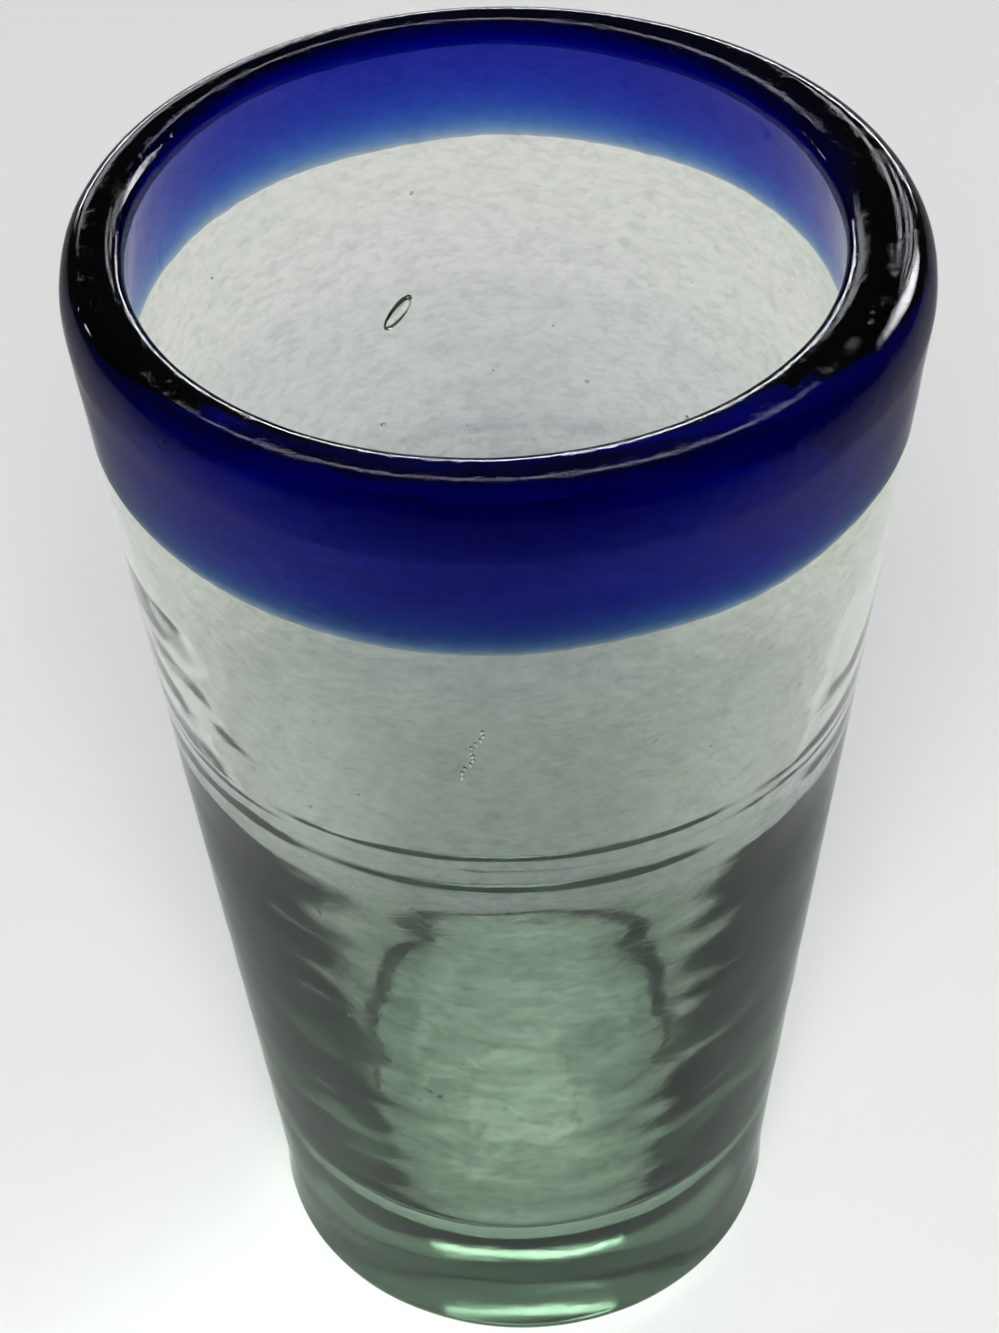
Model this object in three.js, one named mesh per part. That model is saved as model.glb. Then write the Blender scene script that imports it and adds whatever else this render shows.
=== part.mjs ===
// A hand-blown tumbler of pale green recycled glass with a thick cobalt-blue lip.
// Millimetres, +Z up. The origin is the centre of the foot, on the table.
// The four pieces are the four lots of hot glass that the maker joins one after another:
// the blown bubble, the second gather round its lower half, the cobalt lip wrap and the pontil mark.
import * as THREE from "three";

// Outside form: a straight taper from the table to the widest line of the lip.
const height = 150;
const rimRadius = 46;
const footRadius = 31;

// Cobalt lip: a thick bead with a wide outer round and a tighter inner round, laid over the end of the wall,
// and a skirt that thins out down the outside. Both rounds are a little fuller than an ellipse, whose power is 2.
const lipOuterWidth = 4;
const lipOuterHeight = 5.5;
const lipInnerWidth = 4.2;
const lipInnerHeight = 2.6;
const lipFullness = 2.5;
const lipDepth = 6;
const cobaltDepth = 18.4;
const skirtRootThickness = 2.6;
const skirtEdgeThickness = 0.5;

// Upper wall, between the outside taper and the hollow: even at first, then swelling into the lip.
const wallUnderLip = 4.3;
const wallAtKnee = 4.6;
const swellHeight = 31.4;
const swellPower = 1.3;

// Hollow: it follows the taper down to the knee, then draws in as a cone to a rounded floor.
const kneeHeight = 86.2;
const floorHeight = 14;
const floorRadius = 22.8;
const floorCornerRadius = 9;

// Tool ring: a low ridge round the inside, just above the knee.
const ringAboveKnee = 8.3;
const ringRise = 0.3;
const ringWidth = 3;

// Second gather: a coat from the foot up to the tool ring, thickest at the foot.
const gatherTop = 98;
const gatherEdgeThickness = 2.2;
const gatherFootThickness = 6;
const gatherUnderFloor = 7;
const bubbleCornerRadius = 12;

// Foot: a rounded heel that stands a little proud of the taper, a flat ring and a raised centre.
const heelProud = 0.5;
const heelHeight = 3.6;
const heelBlendHeight = 13;
const heelRadius = 3.6;
const restRingWidth = 5;
const kickHeight = 1;
const kickFlatRadius = 10;

// Pontil mark: the low scar of glass left where the finished tumbler was cracked off its rod.
const pontilRadius = 8.5;
const pontilThickness = 0.6;
const pontilEdgeDraft = 0.6;

// Width left open at every fused seam, so that neighbouring pieces never share volume.
const seam = 0.1;

// Fineness of the turned surfaces.
const turnSteps = 48;
const arcSteps = 5;
const swellSteps = 8;

const clearGlass = new THREE.MeshStandardMaterial({ color: 0xc4cdc4, roughness: 0.06, metalness: 0 });
const greenGlass = new THREE.MeshStandardMaterial({ color: 0x8fa698, roughness: 0.06, metalness: 0 });
const cobaltGlass = new THREE.MeshStandardMaterial({ color: 0x0b0a5e, roughness: 0.05, metalness: 0 });
const pontilGlass = new THREE.MeshStandardMaterial({ color: 0x9db3a4, roughness: 0.45, metalness: 0 });

// Heights that several pieces share.
const lipEquator = height - lipOuterHeight;
const lipInnerTop = height - lipInnerHeight;
const lipSeat = height - lipDepth;
const skirtEdge = height - cobaltDepth;
const swellStart = lipInnerTop - swellHeight;

// Radii of the top line and the inner face of the lip.
const lipCrown = rimRadius - lipOuterWidth;
const lipInside = lipCrown - lipInnerWidth;

// Radius of the outside taper at a height.
function outsideRadius(z) {
  return footRadius + ((rimRadius - footRadius) * z) / lipEquator;
}

// Radius of the hollow at a height above the knee. The wall swells over the last part below the lip.
function upperHollowRadius(z) {
  const share = Math.min(1, (z - kneeHeight) / (swellStart - kneeHeight));
  const wall = wallAtKnee + (wallUnderLip - wallAtKnee) * share;
  const rise = Math.max(0, (z - swellStart) / swellHeight);
  const swell = outsideRadius(lipInnerTop) - wallUnderLip - lipInside;
  return outsideRadius(z) - wall - swell * rise ** swellPower;
}

// Radius of the cone below the knee, carried down to the level of the floor.
function lowerHollowRadius(z) {
  const share = (z - floorHeight) / (kneeHeight - floorHeight);
  return floorRadius + (upperHollowRadius(kneeHeight) - floorRadius) * share;
}

// Radius of the inner face of the cobalt skirt, which the wall of the bubble is dressed to.
function skirtInnerRadius(z) {
  const share = (z - skirtEdge) / (lipSeat - skirtEdge);
  const thickness = skirtEdgeThickness + (skirtRootThickness - skirtEdgeThickness) * share;
  return outsideRadius(z) - thickness;
}

// Radius of the inner face of the second gather.
function gatherInnerRadius(z) {
  const share = z / gatherTop;
  const thickness = gatherFootThickness + (gatherEdgeThickness - gatherFootThickness) * share;
  return outsideRadius(z) - thickness;
}

// Draws the round between a level floor and a rising wall, starting from the floor or from the wall.
// The floor lies at floorZ, and the wall is the straight line that wallRadius describes.
function cornerFromFloor(path, floorZ, radius, wallRadius, upwards) {
  const slope = wallRadius(floorZ + 1) - wallRadius(floorZ);
  const lean = Math.atan(slope);
  const centreZ = floorZ + radius;
  const centreX = wallRadius(centreZ) - radius / Math.cos(lean);
  if (upwards) {
    path.lineTo(centreX, floorZ);
    path.absarc(centreX, centreZ, radius, -Math.PI / 2, -lean, false);
  } else {
    path.absarc(centreX, centreZ, radius, -lean, -Math.PI / 2, true);
  }
}

// Draws the inside of the upper wall down from one height to another.
function followHollow(path, fromZ, toZ) {
  for (let step = 1; step <= swellSteps; step += 1) {
    const z = fromZ + ((toZ - fromZ) * step) / swellSteps;
    path.lineTo(upperHollowRadius(z), z);
  }
}

// Draws a quarter of the lip's round about a centre, from the outside up (side 1) or from the top inwards (side -1).
function lipRound(path, centreZ, width, rise, side) {
  for (let step = 1; step <= arcSteps; step += 1) {
    const turn = ((Math.PI / 2) * step) / arcSteps;
    const angle = side > 0 ? turn : Math.PI / 2 - turn;
    const across = width * Math.cos(angle) ** (2 / lipFullness);
    const up = rise * Math.sin(angle) ** (2 / lipFullness);
    path.lineTo(lipCrown + side * across, centreZ + up);
  }
}

// Turns a drawn outline into a named mesh standing on +Z.
function turned(name, path, material) {
  const outline = path.getPoints(arcSteps);
  const geometry = new THREE.LatheGeometry(outline, turnSteps);
  geometry.rotateX(Math.PI / 2);
  const mesh = new THREE.Mesh(geometry, material);
  mesh.name = name;
  return mesh;
}

// Blown bubble: the clear inner cup, from under the floor up to the seat of the lip.
function blownBody() {
  const bottom = gatherUnderFloor + seam;
  const outside = (z) => gatherInnerRadius(z) - seam;
  const path = new THREE.Path();
  path.moveTo(0, bottom);
  cornerFromFloor(path, bottom, bubbleCornerRadius, outside, true);
  path.lineTo(outside(gatherTop + seam), gatherTop + seam);
  path.lineTo(outsideRadius(gatherTop + seam), gatherTop + seam);
  path.lineTo(outsideRadius(skirtEdge - seam), skirtEdge - seam);
  path.lineTo(skirtInnerRadius(skirtEdge) - seam, skirtEdge - seam);
  path.lineTo(skirtInnerRadius(lipSeat) - seam, lipSeat - seam);
  path.lineTo(upperHollowRadius(lipSeat - seam), lipSeat - seam);
  followHollow(path, lipSeat - seam, swellStart);
  const ring = kneeHeight + ringAboveKnee;
  const ringStart = ring + ringWidth / 2;
  const ringEnd = ring - ringWidth / 2;
  // The curve below passes half way to its control point, so that point stands twice the rise away.
  const ringTip = upperHollowRadius(ring) - 2 * ringRise;
  path.lineTo(upperHollowRadius(ringStart), ringStart);
  path.quadraticCurveTo(ringTip, ring, upperHollowRadius(ringEnd), ringEnd);
  path.lineTo(upperHollowRadius(kneeHeight), kneeHeight);
  cornerFromFloor(path, floorHeight, floorCornerRadius, lowerHollowRadius, false);
  path.lineTo(0, floorHeight);
  return turned("blown_body", path, clearGlass);
}

// Second gather: the green coat that makes the heavy foot and ends at the tool ring.
function baseGather() {
  const heelWidest = outsideRadius(heelHeight) + heelProud;
  const heelCentre = heelWidest - heelRadius;
  const ringInside = heelCentre - restRingWidth;
  const path = new THREE.Path();
  path.moveTo(0, kickHeight);
  path.lineTo(kickFlatRadius, kickHeight);
  path.quadraticCurveTo(ringInside - kickHeight / 2, kickHeight, ringInside, 0);
  path.lineTo(heelCentre, 0);
  path.absellipse(heelCentre, heelHeight, heelRadius, heelHeight, -Math.PI / 2, 0, false);
  path.quadraticCurveTo(
    heelWidest,
    (heelHeight + heelBlendHeight) / 2,
    outsideRadius(heelBlendHeight),
    heelBlendHeight,
  );
  path.lineTo(outsideRadius(gatherTop), gatherTop);
  path.lineTo(gatherInnerRadius(gatherTop), gatherTop);
  cornerFromFloor(path, gatherUnderFloor, bubbleCornerRadius + seam, gatherInnerRadius, false);
  path.lineTo(0, gatherUnderFloor);
  return turned("base_gather", path, greenGlass);
}

// Cobalt lip: a rounded bead over the end of the wall, with a skirt down the outside.
function cobaltRim() {
  const path = new THREE.Path();
  path.moveTo(upperHollowRadius(lipSeat), lipSeat);
  path.lineTo(skirtInnerRadius(lipSeat), lipSeat);
  path.lineTo(skirtInnerRadius(skirtEdge), skirtEdge);
  path.lineTo(outsideRadius(skirtEdge), skirtEdge);
  path.lineTo(rimRadius, lipEquator);
  lipRound(path, lipEquator, lipOuterWidth, lipOuterHeight, 1);
  lipRound(path, lipInnerTop, lipInnerWidth, lipInnerHeight, -1);
  path.lineTo(upperHollowRadius(lipSeat), lipSeat);
  return turned("cobalt_rim", path, cobaltGlass);
}

// Pontil mark: a low disc in the raised centre of the foot, clear of the table.
function pontilMark() {
  const top = kickHeight - seam;
  const path = new THREE.Path();
  path.moveTo(0, top - pontilThickness);
  path.lineTo(pontilRadius - pontilEdgeDraft, top - pontilThickness);
  path.lineTo(pontilRadius, top);
  path.lineTo(0, top);
  return turned("pontil_mark", path, pontilGlass);
}

const tumbler = new THREE.Group();
tumbler.add(blownBody());
tumbler.add(baseGather());
tumbler.add(cobaltRim());
tumbler.add(pontilMark());

export default tumbler;
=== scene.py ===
import math
import random

import bmesh
import bpy
from mathutils import Matrix, Vector, noise


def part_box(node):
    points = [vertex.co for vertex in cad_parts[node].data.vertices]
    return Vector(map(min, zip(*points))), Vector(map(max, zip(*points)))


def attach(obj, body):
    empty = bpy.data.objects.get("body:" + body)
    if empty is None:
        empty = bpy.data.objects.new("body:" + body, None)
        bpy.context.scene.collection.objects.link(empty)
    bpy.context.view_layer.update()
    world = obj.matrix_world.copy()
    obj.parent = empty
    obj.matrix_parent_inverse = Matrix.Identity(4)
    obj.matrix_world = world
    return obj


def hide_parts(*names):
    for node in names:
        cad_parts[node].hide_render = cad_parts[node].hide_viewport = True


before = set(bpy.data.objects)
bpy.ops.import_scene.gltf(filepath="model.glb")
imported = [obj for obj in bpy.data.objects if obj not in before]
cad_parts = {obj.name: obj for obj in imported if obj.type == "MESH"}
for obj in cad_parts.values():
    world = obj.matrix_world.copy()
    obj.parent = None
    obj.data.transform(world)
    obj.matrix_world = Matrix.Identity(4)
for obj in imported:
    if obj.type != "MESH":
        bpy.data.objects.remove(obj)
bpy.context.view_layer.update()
scene = bpy.context.scene
MM = 0.001

# Blown body: the bubble of pale green recycled glass that is blown first. It makes the floor of the
# hollow and the wall up into the lip, with the maker's tool rings and a knee round the inside and
# seeds of trapped air. The other pieces are fused to it hot, so no edge shows where they meet.

# The pieces are drawn in millimetres, as outlines of (radius, height) points. The studio is in metres.
rim_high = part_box("cobalt_rim")[1]
gather_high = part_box("base_gather")[1]
height = rim_high.z / MM
rim_radius = rim_high.x / MM
foot_radius = 31.0
lip_outer_height = 5.5
lip_outer_width = 4.0
lip_inner_height = 2.6
lip_inner_radius = 37.8
lip_equator = height - lip_outer_height
lip_inner_top = height - lip_inner_height
lip_crown = rim_radius - lip_outer_width
skirt_edge = 131.6
skirt_edge_thickness = 0.05
skirt_root = 144.5
skirt_root_thickness = 2.7
skirt_growth = 0.83
tongue_top = 148.0
tongue_inside = 146.6
wall_thickens_from = 116.0
wall_growth_power = 1.3
wall_under_lip = 4.3
wall_at_knee = 4.6
knee_height = 86.2
floor_height = 14.0
floor_radius = 22.8
floor_corner_radius = 9.0
gather_top = gather_high.z / MM
gather_edge_thickness = 2.2
gather_foot_thickness = 6.0
gather_under_floor = 7.0
bubble_corner_radius = 12.0
fused_gap = 0.012

# Fineness of the turned surfaces. Both sides of a fused seam take the same steps, so that they match.
turn_steps = 288
seam_floor_steps = 6
seam_corner_steps = 20
seam_wall_steps = 24
ledge_steps = 2
skirt_steps = 24
tongue_steps = 16
outer_wall_steps = 60
hollow_wall_steps = 160
hollow_cone_steps = 80
hollow_corner_steps = 28
hollow_floor_steps = 16
axis_radius = 1e-6


def ease(value):
    """A smooth step from 0 to 1."""
    t = min(1.0, max(0.0, value))
    return t * t * (3 - 2 * t)


def blend(first, last, share):
    """The value that lies a share of the way from first to last."""
    return first + (last - first) * share


def outside_radius(z):
    """Radius of the straight outside taper at a height, in millimetres."""
    return blend(foot_radius, rim_radius, z / lip_equator)


def upper_hollow_radius(z):
    """Radius of the hollow above the knee. The wall thickens smoothly towards the lip."""
    share = (z - knee_height) / (wall_thickens_from - knee_height)
    wall = blend(wall_at_knee, wall_under_lip, min(1.0, share))
    rise = max(0.0, (z - wall_thickens_from) / (lip_inner_top - wall_thickens_from))
    growth = outside_radius(lip_inner_top) - wall_under_lip - lip_inner_radius
    return outside_radius(z) - wall - growth * rise ** wall_growth_power


def lower_hollow_radius(z):
    """Radius of the cone that the hollow draws in to below the knee."""
    share = (z - floor_height) / (knee_height - floor_height)
    return blend(floor_radius, upper_hollow_radius(knee_height), share)


def skirt_inner_radius(z):
    """Radius of the face where the cobalt skirt is fused to the wall."""
    share = max(0.0, (z - skirt_edge) / (skirt_root - skirt_edge)) ** skirt_growth
    return outside_radius(z) - blend(skirt_edge_thickness, skirt_root_thickness, share)


def gather_inner_radius(z):
    """Radius of the face where the second gather is fused to the bubble."""
    return outside_radius(z) - blend(gather_foot_thickness, gather_edge_thickness, z / gather_top)


def straight(start, end, steps):
    """Points from start to end, without start."""
    shares = [i / steps for i in range(1, steps + 1)]
    return [(blend(start[0], end[0], share), blend(start[1], end[1], share)) for share in shares]


def follow(radius_at, start, end, steps):
    """Points of a wall line from one height to another, without the first."""
    heights = [blend(start, end, i / steps) for i in range(1, steps + 1)]
    return [(radius_at(z), z) for z in heights]


def oval(centre, radii, start, end, steps, fullness=2.0):
    """Points of an oval arc between two angles in degrees, without the first.
    A fullness above 2 squares it."""
    points = []
    for i in range(1, steps + 1):
        angle = math.radians(blend(start, end, i / steps))
        reach = [math.copysign(abs(v) ** (2 / fullness), v) for v in (math.cos(angle), math.sin(angle))]
        points.append((centre[0] + radii[0] * reach[0], centre[1] + radii[1] * reach[1]))
    return points


def bend(start, control, end, steps):
    """Points of a curve drawn towards one control point, without the first."""
    points = []
    for i in range(1, steps + 1):
        t = i / steps
        points.append(tuple((1 - t) ** 2 * a + 2 * t * (1 - t) * b + t * t * c
                            for a, b, c in zip(start, control, end)))
    return points


def wall_to_floor(floor_z, radius, radius_at, steps):
    """The round that leads down a rising wall into a level floor."""
    lean = math.degrees(math.atan(radius_at(floor_z + 1) - radius_at(floor_z)))
    level = floor_z + radius
    centre = (radius_at(level) - radius / math.cos(math.radians(lean)), level)
    first = oval(centre, (radius, radius), -lean, -lean, 1)
    return first + oval(centre, (radius, radius), -lean, -90, steps)


# Marks of hand work: a lip set off centre, a tilted and rippled band, an oval, waves and tool rings.
# The places are where in the endless noise each ripple is read.
lip_shift = (-1.3, 1.15)
lip_shift_from = 104.0
band_tilt = 1.85
band_tilt_from = 112.0
band_ripple = 0.5
band_grain = 0.16
band_ripple_swells = 2.0
band_ripple_place = 7.1
band_grain_swells = 24.0
band_grain_place = 3.3
oval_share = 0.003
oval_turn = 0.7
outside_wave = 0.07
outside_wave_length = 9
inside_wave = 0.07
inside_wave_length = 7
inside_wave_place = Vector((40, 0, 0))
wave_stretch = 1.8
wave_full_radius = 10
floor_wave = 0.3
floor_wave_lengths = (18, 9)
floor_wave_place = 5.5
floor_ripple = 0.3
floor_ripple_lengths = (7, 3)
floor_ripple_place = 9.5

# Tool rings: the height, rise and width of each, and how they break up and wander.
tool_rings = ((94.5, 0.15, 0.8), (92.9, 0.09, 0.6), (89.4, 0.16, 1.1), (87.9, 0.08, 0.6))
ring_front = math.radians(-90)
ring_front_gain = 1.7
ring_front_sharpness = 4
ring_front_narrowing = 3
ring_wander = 0.5
ring_wander_swells = 1.2
ring_strength = 0.55
ring_slow_break = 0.6
ring_slow_swells = 2.5
ring_quick_break = 0.5
ring_quick_swells = 9.0


def around(angle, size, level):
    """Smooth noise that wraps round the glass; size is the number of swells across the radius."""
    return noise.noise(Vector((size * math.cos(angle), size * math.sin(angle), level)))


def tool_ring_depth(angle, z):
    """How far the maker's tool rings stand in from the wall of the hollow.
    They come and go round the glass and are deepest at the front."""
    depth = 0.0
    facing = ring_front_sharpness * math.cos(angle - ring_front) - ring_front_narrowing
    front = ring_front_gain * ease(facing)
    for level, rise, width in tool_rings:
        middle = level + ring_wander * around(angle, ring_wander_swells, level)
        slow = ring_slow_break * around(angle, ring_slow_swells, 2 * level)
        quick = ring_quick_break * around(angle, ring_quick_swells, level)
        strength = ring_strength + slow + quick + front
        depth += rise * strength * math.exp(-((z - middle) / width) ** 2)
    return depth


def hand_shape(radius, angle, z):
    """Moves a turned point as hand work does: a little oval and wavy, with tool rings on the inside,
    the lip thicker at the front right and the blue band lower at the front."""
    if z > skirt_edge:
        reach = ease((height - z) / (height - skirt_root))
    else:
        reach = ease((z - band_tilt_from) / (skirt_edge - band_tilt_from))
    wander = band_ripple * around(angle, band_ripple_swells, band_ripple_place)
    wander += band_grain * around(angle, band_grain_swells, band_grain_place)
    z_new = z + reach * (band_tilt * math.sin(angle) + wander)
    hollow = upper_hollow_radius(z) if z > knee_height else lower_hollow_radius(max(z, floor_height))
    depth = min(1.0, max(0.0, (outside_radius(z) - radius) / (outside_radius(z) - hollow)))
    middle = min(1.0, radius / wave_full_radius)
    swell = Vector((radius * math.cos(angle), radius * math.sin(angle), wave_stretch * z_new))
    outer = outside_wave * (noise.noise(swell / outside_wave_length) - 1) * (1 - depth)
    inner = inside_wave * noise.noise(swell / inside_wave_length + inside_wave_place)
    inner = (inner - tool_ring_depth(angle, z)) * depth
    radius_new = radius + outside_radius(z_new) - outside_radius(z) + (outer + inner) * middle
    radius_new *= 1 + oval_share * (math.cos(2 * angle + oval_turn) - 1) * ease(z / height)
    inward = depth * ease((z - lip_shift_from) / (lip_equator - lip_shift_from))
    low = ease(1 - (z - gather_under_floor) / (floor_height + floor_corner_radius))
    low *= ease(z / floor_height)
    across, along = floor_wave_lengths
    ripple = noise.noise(Vector((swell.x / across, swell.y / along, floor_wave_place)))
    across, along = floor_ripple_lengths
    fine = noise.noise(Vector((swell.x / across, swell.y / along, floor_ripple_place)))
    ripple += floor_ripple * fine
    z_new += floor_wave * low * ripple * depth
    return Vector(((radius_new * math.cos(angle) + lip_shift[0] * inward) * MM,
                   (radius_new * math.sin(angle) + lip_shift[1] * inward) * MM, z_new * MM))


def wall_point(angle, z, depth):
    """A point inside the wall, from 0 on the outside to 1 on the inside."""
    hollow = upper_hollow_radius(z) if z > knee_height else lower_hollow_radius(z)
    return hand_shape(blend(outside_radius(z), hollow, depth), angle, z)


seed_slices = 12
seed_rings = 7


def add_seed(build, angle, z, depth, length, width, lean):
    """Leaves an egg-shaped bubble of air in the wall, with its long axis leaning from the upright."""
    middle = wall_point(angle, z, depth)
    outward = Vector((math.cos(angle), math.sin(angle), 0))
    along = Vector((-math.sin(angle), math.cos(angle), 0))
    axis = Vector((0, 0, math.cos(lean))) + along * math.sin(lean)
    across = axis.cross(outward)
    rings = []
    for k in range(seed_rings + 1):
        polar = math.pi * k / seed_rings
        count = 1 if k in (0, seed_rings) else seed_slices
        lengthways = axis * (length / 2 * MM * math.cos(polar))
        reach = width / 2 * MM * math.sin(polar)
        ring = []
        for i in range(count):
            turn = 2 * math.pi * i / seed_slices
            sideways = across * math.cos(turn) + outward * math.sin(turn)
            ring.append(build.verts.new(middle + lengthways + sideways * reach))
        rings.append(ring)
    for low, high in zip(rings, rings[1:]):
        for i in range(seed_slices):
            j = (i + 1) % seed_slices
            corners = [low[i % len(low)], high[i % len(high)], high[j % len(high)], low[j % len(low)]]
            face = build.faces.new(list(dict.fromkeys(corners))[::-1])
            face.smooth = True


def turned_glass(name, outline, fused, closed=False, seeds=()):
    """Turns an outline of (radius, height) points into a closed mesh. fused holds the index spans of the
    outline that lie against a neighbour, and those faces are marked so that light passes straight on.
    seeds are bubbles of air left in the wall."""
    build = bmesh.new()
    mark = build.faces.layers.float.new("fused_seam")
    rows = []
    for radius, z in outline:
        count = 1 if radius < axis_radius else turn_steps
        turns = [2 * math.pi * i / turn_steps for i in range(count)]
        rows.append([build.verts.new(hand_shape(radius, angle, z)) for angle in turns])
    steps = list(range(len(rows) - 1)) + ([len(rows) - 1] if closed else [])
    for k in steps:
        low, high = rows[k], rows[(k + 1) % len(rows)]
        in_seam = any(first <= k < last for first, last in fused)
        for i in range(turn_steps):
            j = (i + 1) % turn_steps
            if len(low) == 1:
                corners = (low[0], high[j], high[i])
            elif len(high) == 1:
                corners = (low[i], low[j], high[0])
            else:
                corners = (low[i], low[j], high[j], high[i])
            face = build.faces.new(corners)
            face.smooth = True
            face[mark] = 1.0 if in_seam else 0.0
    for seed in seeds:
        add_seed(build, *seed)
    for edge in build.edges:
        a, b = edge.link_faces
        edge.smooth = a[mark] == b[mark]
    mesh = bpy.data.meshes.new(name)
    build.to_mesh(mesh)
    build.free()
    piece = bpy.data.objects.new(name, mesh)
    scene.collection.objects.link(piece)
    return piece


def tongue(gap):
    """The rounded end of the wall that the lip is wrapped over, from the skirt to the inside face."""
    start = (skirt_inner_radius(skirt_root) - gap, skirt_root)
    end = (upper_hollow_radius(tongue_inside - gap), tongue_inside - gap)
    peak = 2 * tongue_top - (start[1] + end[1]) / 2 - gap
    return [start] + bend(start, ((start[0] + end[0]) / 2, peak), end, tongue_steps)


body_bottom = gather_under_floor + fused_gap
ledge = gather_top + fused_gap
stop = skirt_edge - fused_gap


def body_outer_radius(z):
    """Radius of the bubble's outside under the gather."""
    return gather_inner_radius(z) - fused_gap


def body_skirt_radius(z):
    """Radius of the bubble's outside under the cobalt skirt."""
    return skirt_inner_radius(z) - fused_gap


under = wall_to_floor(body_bottom, bubble_corner_radius, body_outer_radius, seam_corner_steps)[::-1]
body_outline = [(0.0, body_bottom)]
body_outline += straight(body_outline[0], under[0], seam_floor_steps) + under[1:]
body_outline += follow(body_outer_radius, under[-1][1], ledge, seam_wall_steps)
body_outline += straight(body_outline[-1], (outside_radius(ledge), ledge), ledge_steps)
gather_seam_end = len(body_outline) - 1
body_outline += follow(outside_radius, ledge, stop, outer_wall_steps)
skirt_seam_start = len(body_outline) - 1
body_outline += [(body_skirt_radius(skirt_edge), stop)]
body_outline += follow(body_skirt_radius, skirt_edge, skirt_root, skirt_steps)
body_outline += tongue(fused_gap)[1:]
skirt_seam_end = len(body_outline) - 1
body_outline += follow(upper_hollow_radius, body_outline[-1][1], knee_height, hollow_wall_steps)
corner = wall_to_floor(floor_height, floor_corner_radius, lower_hollow_radius, hollow_corner_steps)
body_outline += straight(body_outline[-1], corner[0], hollow_cone_steps) + corner[1:]
body_outline += straight(corner[-1], (0.0, floor_height), hollow_floor_steps)
body_seams = [(0, gather_seam_end), (skirt_seam_start, skirt_seam_end)]

# A seed is its turn round the glass, its height, its depth in the wall, its length, width and lean.
long_bubble = (math.radians(108.0), 111.7, 0.5, 5.6, 2.0, math.radians(-41.0))
seeds = [long_bubble]
trail_count = 12
trail_start = (-94.0, 117.6)
trail_end = (-97.1, 110.0)
trail_swing = 0.45
trail_lean = 20
trail_pitch = 1.1
trail_seed = (0.4, 0.95, 0.45)
for i in range(trail_count):
    share = i / (trail_count - 1)
    turn = blend(trail_start[0], trail_end[0], share) + trail_swing * math.sin(i * trail_pitch)
    level = blend(trail_start[1], trail_end[1], share)
    lean = trail_lean * math.cos(i * trail_pitch)
    seeds.append((math.radians(turn), level, *trail_seed, math.radians(lean)))
right_seed = (math.radians(-50.6), 120.2, 0.4, 0.9, 0.4, 1.2)
middle_seed = (math.radians(-69.3), 112.6, 0.4, 0.7, 0.35, 0.9)
seeds += [right_seed, middle_seed]
small_seed_count = 90
small_seed_size = 0.22
small_seed_spread = 0.4
small_seed_rarity = 3
small_seed_heights = (26, 128)
small_seed_depths = (0.3, 0.7)
small_seed_stretch = (1.0, 2.2)
small_seed_leans = (0.3, 2.8)
chance_start = 7
chance = random.Random(chance_start)
for _ in range(small_seed_count):
    size = small_seed_size + small_seed_spread * chance.random() ** small_seed_rarity
    turn = chance.uniform(0, 2 * math.pi)
    level = chance.uniform(*small_seed_heights)
    depth = chance.uniform(*small_seed_depths)
    length = size * chance.uniform(*small_seed_stretch)
    seeds.append((turn, level, depth, length, size, chance.uniform(*small_seed_leans)))
blown_body = turned_glass("blown_body_glass", body_outline, body_seams, seeds=seeds)


mottle_stretch = (1.0, 1.0, 1.9)
mottle_detail = 6.0
mottle_roughness = 0.62
mottle_distortion = 0.7
mottle_range = (0.22, 0.54)


def mottle_group():
    """Node group for the cloudy, wrinkled tone of glass worked by hand: a colour and a height."""
    group = bpy.data.node_groups.new("hand_glass_mottle", "ShaderNodeTree")
    group.interface.new_socket("Cloud Size", in_out="INPUT", socket_type="NodeSocketFloat")
    group.interface.new_socket("Dark Tone", in_out="INPUT", socket_type="NodeSocketColor")
    group.interface.new_socket("Light Tone", in_out="INPUT", socket_type="NodeSocketColor")
    group.interface.new_socket("Tone", in_out="OUTPUT", socket_type="NodeSocketColor")
    group.interface.new_socket("Height", in_out="OUTPUT", socket_type="NodeSocketFloat")
    nodes, links = group.nodes, group.links
    given = nodes.new("NodeGroupInput")
    result = nodes.new("NodeGroupOutput")
    place = nodes.new("ShaderNodeTexCoord")
    stretch = nodes.new("ShaderNodeMapping")
    stretch.inputs["Scale"].default_value = mottle_stretch
    cloud = nodes.new("ShaderNodeTexNoise")
    cloud.inputs["Detail"].default_value = mottle_detail
    cloud.inputs["Roughness"].default_value = mottle_roughness
    cloud.inputs["Distortion"].default_value = mottle_distortion
    spread = nodes.new("ShaderNodeMapRange")
    spread.inputs["From Min"].default_value, spread.inputs["From Max"].default_value = mottle_range
    tone = nodes.new("ShaderNodeMix")
    tone.data_type = "RGBA"
    links.new(place.outputs["Object"], stretch.inputs["Vector"])
    links.new(stretch.outputs[0], cloud.inputs["Vector"])
    links.new(given.outputs["Cloud Size"], cloud.inputs["Scale"])
    links.new(cloud.outputs["Fac"], spread.inputs["Value"])
    links.new(spread.outputs[0], tone.inputs["Factor"])
    links.new(given.outputs["Dark Tone"], tone.inputs["A"])
    links.new(given.outputs["Light Tone"], tone.inputs["B"])
    links.new(tone.outputs["Result"], result.inputs["Tone"])
    links.new(spread.outputs[0], result.inputs["Height"])
    return group


# Painted shade: a tinted coat on the outside of the foot and the lip that darkens grazing views and the
# reflections seen there. These heights place it.
shade_coat_low = 80.0
shade_coat_fade = 4.0


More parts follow.
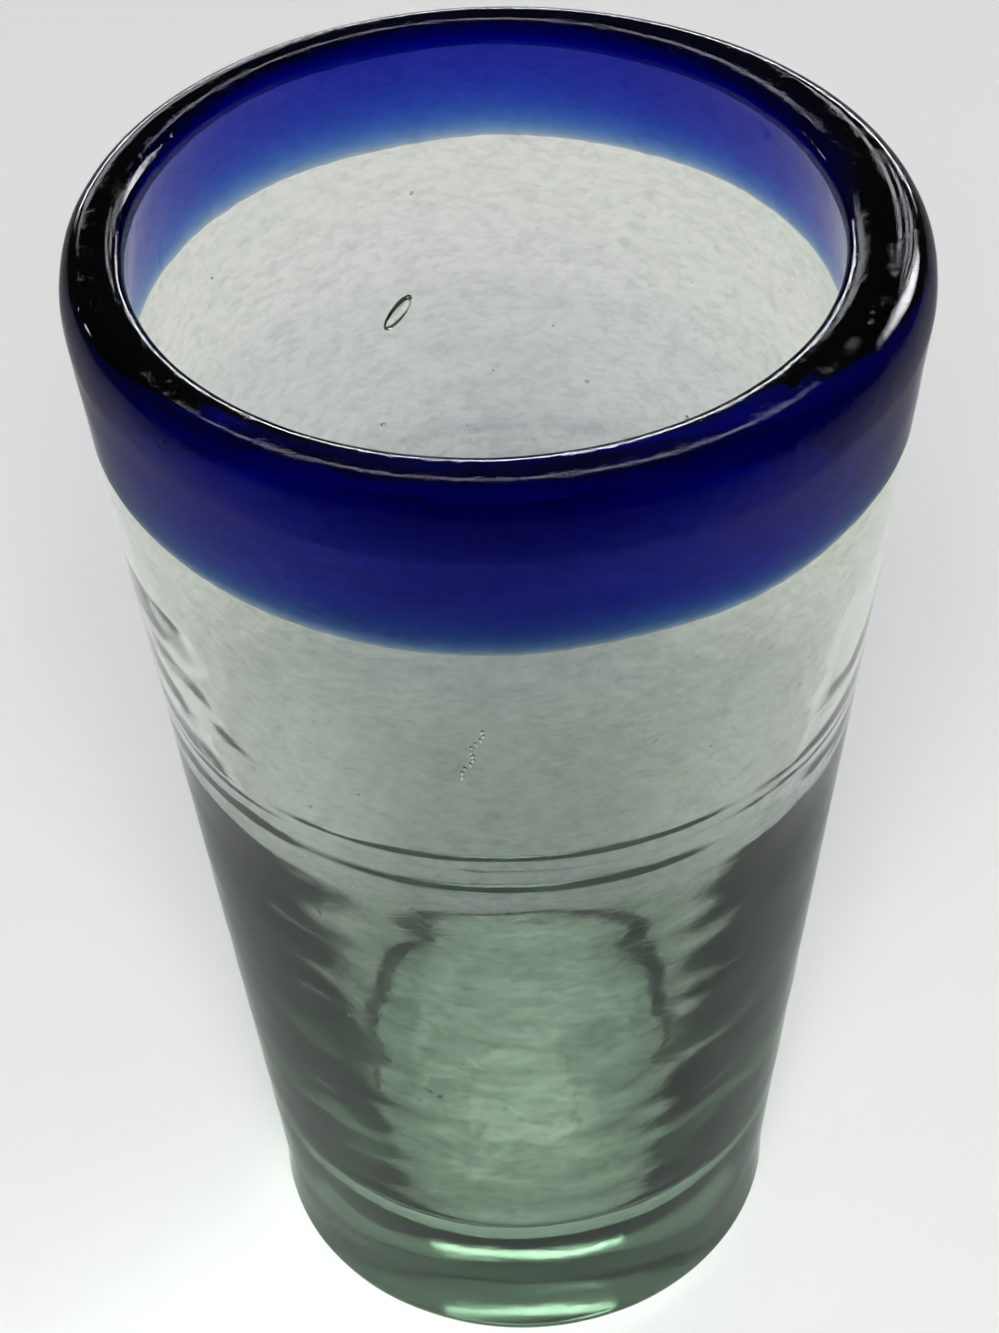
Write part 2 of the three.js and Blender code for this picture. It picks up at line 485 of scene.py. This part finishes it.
def shade_coat_group():
    """Node group for where the painted grazing shade lies on the outside: below the tool rings, and again
    on the lip.
    """
    group = bpy.data.node_groups.new("painted_shade_cover", "ShaderNodeTree")
    group.interface.new_socket("Cover", in_out="OUTPUT", socket_type="NodeSocketFloat")
    nodes, links = group.nodes, group.links
    result = nodes.new("NodeGroupOutput")
    place = nodes.new("ShaderNodeTexCoord")
    split = nodes.new("ShaderNodeSeparateXYZ")
    level = nodes.new("ShaderNodeMath")
    level.operation = "MULTIPLY"
    level.inputs[1].default_value = 1 / (height * MM)
    fade = nodes.new("ShaderNodeValToRGB")
    steps = fade.color_ramp.elements
    steps[0].position = shade_coat_low / height
    steps[0].color = (1, 1, 1, 1)
    steps[1].position = skirt_edge / height
    steps[1].color = (1, 1, 1, 1)
    steps.new(gather_top / height).color = (0, 0, 0, 1)
    steps.new((skirt_edge - shade_coat_fade) / height).color = (0, 0, 0, 1)
    links.new(place.outputs["Object"], split.inputs[0])
    links.new(split.outputs["Z"], level.inputs[0])
    links.new(level.outputs[0], fade.inputs[0])
    links.new(fade.outputs[0], result.inputs["Cover"])
    return group


glass_mottle = mottle_group()
painted_shade_coat = shade_coat_group()
# The coat that carries the painted shade bends light hardly at all, so it adds almost no reflection of its
# own.
shade_coat_bend = 1.02
glass_bend = 1.5
face_clearness = 0.88


def glass_material(name, tint, density, gloss, mottle, shade_coat_tint=(1, 1, 1, 1)):
    """Worked glass: refracting mottled faces, fused faces that light passes straight through, and a
    colour that deepens with thickness. gloss holds the roughness and the tint of the mirror reflection,
    mottle the cloud size, its dark and light tones and the depth of its dimples in metres. The last
    argument is the tint of a painted shade laid on the outside as a coat, darkest at a grazing angle,
    where it dims the reflections."""
    material = bpy.data.materials.new(name)
    material.use_nodes = True
    tree = material.node_tree
    shader = tree.nodes["Principled BSDF"]
    shader.inputs["Roughness"].default_value = gloss[0]
    shader.inputs["Specular Tint"].default_value = (gloss[1], gloss[1], gloss[1], 1)
    shader.inputs["IOR"].default_value = glass_bend
    shader.inputs["Transmission Weight"].default_value = 1.0
    # The coat is painted shade: its tint darkens the outside, most at a grazing angle.
    shader.inputs["Coat IOR"].default_value = shade_coat_bend
    shader.inputs["Coat Tint"].default_value = shade_coat_tint
    wrinkle = tree.nodes.new("ShaderNodeGroup")
    wrinkle.node_tree = glass_mottle
    wrinkle.inputs["Cloud Size"].default_value = mottle[0]
    wrinkle.inputs["Dark Tone"].default_value = mottle[1]
    wrinkle.inputs["Light Tone"].default_value = mottle[2]
    dimple = tree.nodes.new("ShaderNodeBump")
    dimple.inputs["Strength"].default_value = 1.0
    dimple.inputs["Distance"].default_value = mottle[3]
    seam = tree.nodes.new("ShaderNodeAttribute")
    seam.attribute_name = "fused_seam"
    rays = tree.nodes.new("ShaderNodeLightPath")
    shade = tree.nodes.new("ShaderNodeMath")
    shade.operation = "MULTIPLY"
    shade.inputs[1].default_value = face_clearness
    passing = tree.nodes.new("ShaderNodeMath")
    passing.operation = "MAXIMUM"
    through = tree.nodes.new("ShaderNodeBsdfTransparent")
    join = tree.nodes.new("ShaderNodeMixShader")
    depth = tree.nodes.new("ShaderNodeVolumeAbsorption")
    depth.inputs["Color"].default_value = tint
    depth.inputs["Density"].default_value = density
    output = tree.nodes["Material Output"]
    shade_coat_node = tree.nodes.new("ShaderNodeGroup")
    shade_coat_node.node_tree = painted_shade_coat
    tree.links.new(shade_coat_node.outputs["Cover"], shader.inputs["Coat Weight"])
    tree.links.new(wrinkle.outputs["Tone"], shader.inputs["Base Color"])
    tree.links.new(wrinkle.outputs["Height"], dimple.inputs["Height"])
    tree.links.new(dimple.outputs[0], shader.inputs["Normal"])
    tree.links.new(seam.outputs["Fac"], passing.inputs[0])
    tree.links.new(rays.outputs["Is Shadow Ray"], shade.inputs[0])
    tree.links.new(shade.outputs[0], passing.inputs[1])
    tree.links.new(passing.outputs[0], join.inputs[0])
    tree.links.new(shader.outputs[0], join.inputs[1])
    tree.links.new(through.outputs[0], join.inputs[2])
    tree.links.new(join.outputs[0], output.inputs["Surface"])
    tree.links.new(depth.outputs[0], output.inputs["Volume"])
    return material


clear_tint = (0.2, 0.44, 0.24, 1)
clear_density = 30.0
clear_gloss = (0.0, 0.5)
clear_mottle = (420.0, (0.69, 0.7, 0.68, 1), (1.0, 1.0, 0.96, 1), 0.0000015)
clear_glass = glass_material("clear_recycled_glass", clear_tint, clear_density, clear_gloss, clear_mottle)
blown_body.data.materials.append(clear_glass)
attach(blown_body, "root")
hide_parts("blown_body")

# Second gather: the coat of the same green glass that is picked up hot over the lower half of the bubble.
# It makes the heavy foot with its rounded heel and flat rest ring, and its upper edge is fused in at the
# tool rings.

heel_proud = 0.5
heel_height = 3.6
heel_blend_height = 13.0
heel_radius = 3.6
rest_ring_width = 5.0
kick_height = 1.0
kick_steps = 24
rest_ring_steps = 4
heel_steps = 24
heel_blend_steps = 10
gather_wall_steps = 70
heel_widest = outside_radius(heel_height) + heel_proud
heel_centre = heel_widest - heel_radius
ring_inside = heel_centre - rest_ring_width


def kick_level(radius):
    """Height of the hollowed underside at a radius."""
    return kick_height * (0.5 + 0.5 * math.cos(math.pi * min(1.0, radius / ring_inside)))


kick_radii = [ring_inside * i / kick_steps for i in range(kick_steps + 1)]
gather_outline = [(r, kick_level(r)) for r in kick_radii]
gather_outline += straight(gather_outline[-1], (heel_centre, 0.0), rest_ring_steps)
gather_outline += oval((heel_centre, heel_height), (heel_radius, heel_height), -90, 0, heel_steps)
blend_top = (outside_radius(heel_blend_height), heel_blend_height)
blend_control = (heel_widest, (heel_height + heel_blend_height) / 2)
gather_outline += bend(gather_outline[-1], blend_control, blend_top, heel_blend_steps)
gather_outline += follow(outside_radius, heel_blend_height, gather_top, gather_wall_steps)
inside_start = len(gather_outline) - 1
edge_inside = (gather_inner_radius(gather_top), gather_top)
gather_outline += straight(gather_outline[-1], edge_inside, ledge_steps)
cup_radius = bubble_corner_radius + fused_gap
cup = wall_to_floor(gather_under_floor, cup_radius, gather_inner_radius, seam_corner_steps)
gather_outline += follow(gather_inner_radius, gather_top, cup[0][1], seam_wall_steps) + cup[1:]
gather_outline += straight(cup[-1], (0.0, gather_under_floor), seam_floor_steps)
base_gather = turned_glass("base_gather_glass", gather_outline, [(inside_start, len(gather_outline))])
green_tint = (0.2, 0.37, 0.235, 1)
green_density = 19.0
green_mottle = (380.0, (0.6, 0.63, 0.6, 1), (1.0, 1.0, 1.0, 1), 0.000006)
# Tint of the painted grazing shade on the foot.
green_shade_coat = (0.77, 0.8, 0.777, 1)
green_gloss = clear_gloss
green_glass = glass_material(
    "green_gather_glass", green_tint, green_density, green_gloss, green_mottle, green_shade_coat)
base_gather.data.materials.append(green_glass)
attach(base_gather, "root")
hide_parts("base_gather")

# Cobalt lip: a wrap of deep blue glass laid hot round the open end of the bubble and rolled into a thick
# bead, with a skirt that was drawn down the outside of the wall until it fades out. Fused to the wall.

lip_fullness = 2.5
lip_side_steps = 30
lip_outer_steps = 36
lip_inner_steps = 30
lip_inside_steps = 8
lip_outline = tongue(0.0)[::-1] + follow(skirt_inner_radius, skirt_root, skirt_edge, skirt_steps)
lip_outline += [(outside_radius(skirt_edge), skirt_edge)]
lip_seam_end = len(lip_outline) - 1
lip_outline += follow(outside_radius, skirt_edge, lip_equator, lip_side_steps)
outer_round = (lip_outer_width, lip_outer_height)
lip_outline += oval((lip_crown, lip_equator), outer_round, 0, 90, lip_outer_steps, lip_fullness)
inner_round = (lip_crown - lip_inner_radius, lip_inner_height)
lip_outline += oval((lip_crown, lip_inner_top), inner_round, 90, 180, lip_inner_steps, lip_fullness)
lip_outline += follow(upper_hollow_radius, lip_inner_top, tongue_inside, lip_inside_steps)[:-1]
cobalt_rim = turned_glass("cobalt_rim_glass", lip_outline, [(0, lip_seam_end)], closed=True)
cobalt_tint = (0.0, 0.444, 0.94, 1)
cobalt_density = 4000.0
cobalt_gloss = (0.0, 0.1)
cobalt_mottle = (260.0, (0.85, 0.85, 0.85, 1), (1.0, 1.0, 1.0, 1), 0.00003)
# Tint of the painted grazing shade on the lip.
cobalt_shade_coat = (0.66, 0.66, 0.68, 1)
cobalt_glass = glass_material(
    "cobalt_glass", cobalt_tint, cobalt_density, cobalt_gloss, cobalt_mottle, cobalt_shade_coat)
cobalt_rim.data.materials.append(cobalt_glass)
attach(cobalt_rim, "root")
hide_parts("cobalt_rim")

# Pontil mark: the low rough scar of green glass under the foot, where the rod that held the tumbler
# for finishing the lip was cracked off. It is fused to the raised centre of the foot.

pontil_radius = 8.5
pontil_thickness = 0.6
pontil_draft = 1.5
scar_floor_steps = 10
scar_edge_steps = 6
scar_top_steps = 8


def scar_top(radius):
    """Height of the face where the scar is fused to the underside."""
    return kick_level(radius) - fused_gap


scar_low = scar_top(pontil_radius) - pontil_thickness / 2
scar_edge = (pontil_radius, scar_top(pontil_radius))
scar_outline = [(0.0, scar_low)]
scar_outline += straight(scar_outline[0], (pontil_radius - pontil_draft, scar_low), scar_floor_steps)
scar_outline += bend(scar_outline[-1], (pontil_radius, scar_low), scar_edge, scar_edge_steps)
scar_seam = len(scar_outline) - 1
scar_radii = [pontil_radius * (1 - i / scar_top_steps) for i in range(1, scar_top_steps + 1)]
scar_outline += [(r, scar_top(r)) for r in scar_radii]
pontil_mark = turned_glass("pontil_mark_glass", scar_outline, [(scar_seam, len(scar_outline))])
pontil_gloss = (0.25, 0.4)
pontil_glass = glass_material("pontil_glass", green_tint, green_density, pontil_gloss, green_mottle)
pontil_mark.data.materials.append(pontil_glass)
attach(pontil_mark, "root")
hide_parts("pontil_mark")

# Floor: a plain studio table, painted matt in a pale grey. The tumbler stands on it by its rest ring,
# with nothing to fix it.

table_half = 3.0
table_drop = 0.0001
table_colour = (0.88, 0.88, 0.88, 1)
table_roughness = 0.8
table_shine = 0.1
table_mesh = bpy.data.meshes.new("table")
table_corners = [(x * table_half, y * table_half, 0) for x, y in ((-1, -1), (1, -1), (1, 1), (-1, 1))]
table_mesh.from_pydata(table_corners, [], [(0, 1, 2, 3)])
table = bpy.data.objects.new("table", table_mesh)
table.location.z = -table_drop
scene.collection.objects.link(table)
table_paint = bpy.data.materials.new("table_paint")
table_paint.use_nodes = True
table_shader = table_paint.node_tree.nodes["Principled BSDF"]
table_shader.inputs["Base Color"].default_value = table_colour
table_shader.inputs["Roughness"].default_value = table_roughness
table_shader.inputs["Specular IOR Level"].default_value = table_shine
table_mesh.materials.append(table_paint)

# Studio light: a faint dome, and one soft key light above the camera, the only lamp that lights the table.
# The rest are panes that only show in the glass: a window with slits beside it to the back right, a pane
# and a low strip behind, a narrow lamp to the left, and two high ones behind, seen through the foot.

horizon_light = 0.07
horizon_blue = 1.02
horizon_end = 0.3
zenith_light = 0.12
zenith_start = 0.9
world = bpy.data.worlds.new("studio")
scene.world = world
world.use_nodes = True
sky = world.node_tree
place = sky.nodes.new("ShaderNodeTexCoord")
split = sky.nodes.new("ShaderNodeSeparateXYZ")
ramp = sky.nodes.new("ShaderNodeValToRGB")
sky.links.new(place.outputs["Generated"], split.inputs[0])
sky.links.new(split.outputs["Z"], ramp.inputs[0])
sky.links.new(ramp.outputs[0], sky.nodes["Background"].inputs["Color"])
ramp.color_ramp.elements[0].position = horizon_end
ramp.color_ramp.elements[0].color = (horizon_light, horizon_light, horizon_light * horizon_blue, 1)
ramp.color_ramp.elements[1].position = zenith_start
ramp.color_ramp.elements[1].color = (zenith_light, zenith_light, zenith_light, 1)


def softbox(name, azimuth, elevation, distance, size, radiance, shows_in=()):
    """An area lamp that faces the lip from a direction in degrees, with its brightness per area. It lights
    the table, or it is a pane that only shows in the glass: mirrored, seen through it, or both."""
    data = bpy.data.lights.new(name, "AREA")
    data.shape = "RECTANGLE"
    data.size, data.size_y = size
    data.energy = radiance * math.pi * size[0] * size[1]
    lamp = bpy.data.objects.new(name, data)
    turn, rise = math.radians(azimuth), math.radians(elevation)
    way = Vector((math.cos(turn) * math.cos(rise), math.sin(turn) * math.cos(rise), math.sin(rise)))
    lamp.location = Vector((0, 0, height * MM)) + way * distance
    lamp.rotation_euler = (-way).to_track_quat("-Z", "Y").to_euler()
    lamp.visible_camera = False
    lamp.visible_diffuse = not shows_in
    lamp.visible_glossy = "mirror" in shows_in
    lamp.visible_transmission = "through" in shows_in
    scene.collection.objects.link(lamp)


key_light = 17.3
window_light = 55.0
side_pane_light = 14.0
back_pane_light = 7.0
strip_light = 42.0
left_light = 40.0
glow_light = 1.3
high_light = 14.0
pane_distance = 1.2
side_pane_turns = (54, 61, 67, 76)
softbox("key_light", azimuth=-90, elevation=47, distance=3.0, size=(1.4, 1.4), radiance=key_light)
softbox("window", azimuth=44, elevation=28, distance=pane_distance,
        size=(0.26, 0.34), radiance=window_light, shows_in=["mirror"])
for side_turn in side_pane_turns:
    softbox("side_pane", azimuth=side_turn, elevation=28, distance=pane_distance,
            size=(0.06, 0.3), radiance=side_pane_light, shows_in=["mirror"])
softbox("back_pane", azimuth=107, elevation=22, distance=1.4,
        size=(0.5, 0.24), radiance=back_pane_light, shows_in=["mirror"])
softbox("back_strip", azimuth=90, elevation=6, distance=pane_distance,
        size=(1.5, 0.08), radiance=strip_light, shows_in=["mirror"])
softbox("left_lamp", azimuth=145, elevation=20, distance=pane_distance,
        size=(0.04, 0.12), radiance=left_light, shows_in=["mirror"])
softbox("back_glow", azimuth=90, elevation=66, distance=1.5,
        size=(2.2, 1.0), radiance=glow_light, shows_in=["through"])
softbox("high_window", azimuth=90, elevation=48, distance=pane_distance,
        size=(0.55, 0.11), radiance=high_light, shows_in=["mirror", "through"])

# Camera: as the photograph was taken, from high in front, with the tumbler leaning a little in the frame.
# Its place and its angles were fitted to the tumbler's outline.

camera_data = bpy.data.cameras.new("camera")
camera = bpy.data.objects.new("camera", camera_data)
scene.collection.objects.link(camera)
photo_height = 1333
focal_pixels = 3200
camera_data.sensor_fit = "VERTICAL"
camera_data.sensor_height = 36.0
camera_data.lens = focal_pixels / photo_height * camera_data.sensor_height
camera_data.clip_start = 0.01
camera_place = Vector((0.0, -0.2762, 0.3406))
pitch, yaw, roll = math.radians(42.46), math.radians(-0.257), math.radians(-1.91)
forward = Vector((math.sin(yaw) * math.cos(pitch), math.cos(yaw) * math.cos(pitch), -math.sin(pitch)))
level_right = Vector((math.cos(yaw), -math.sin(yaw), 0))
upward = level_right.cross(forward)
right = level_right * math.cos(roll) + upward * math.sin(roll)
top = upward * math.cos(roll) - level_right * math.sin(roll)
camera_turn = Matrix((right, top, -forward)).transposed().to_4x4()
camera.matrix_world = Matrix.Translation(camera_place) @ camera_turn
scene.camera = camera
scene.view_settings.view_transform = "Standard"
light_bounces = 64
scene.cycles.max_bounces = light_bounces
scene.cycles.transmission_bounces = light_bounces
scene.cycles.glossy_bounces = light_bounces
scene.cycles.transparent_max_bounces = 4 * light_bounces
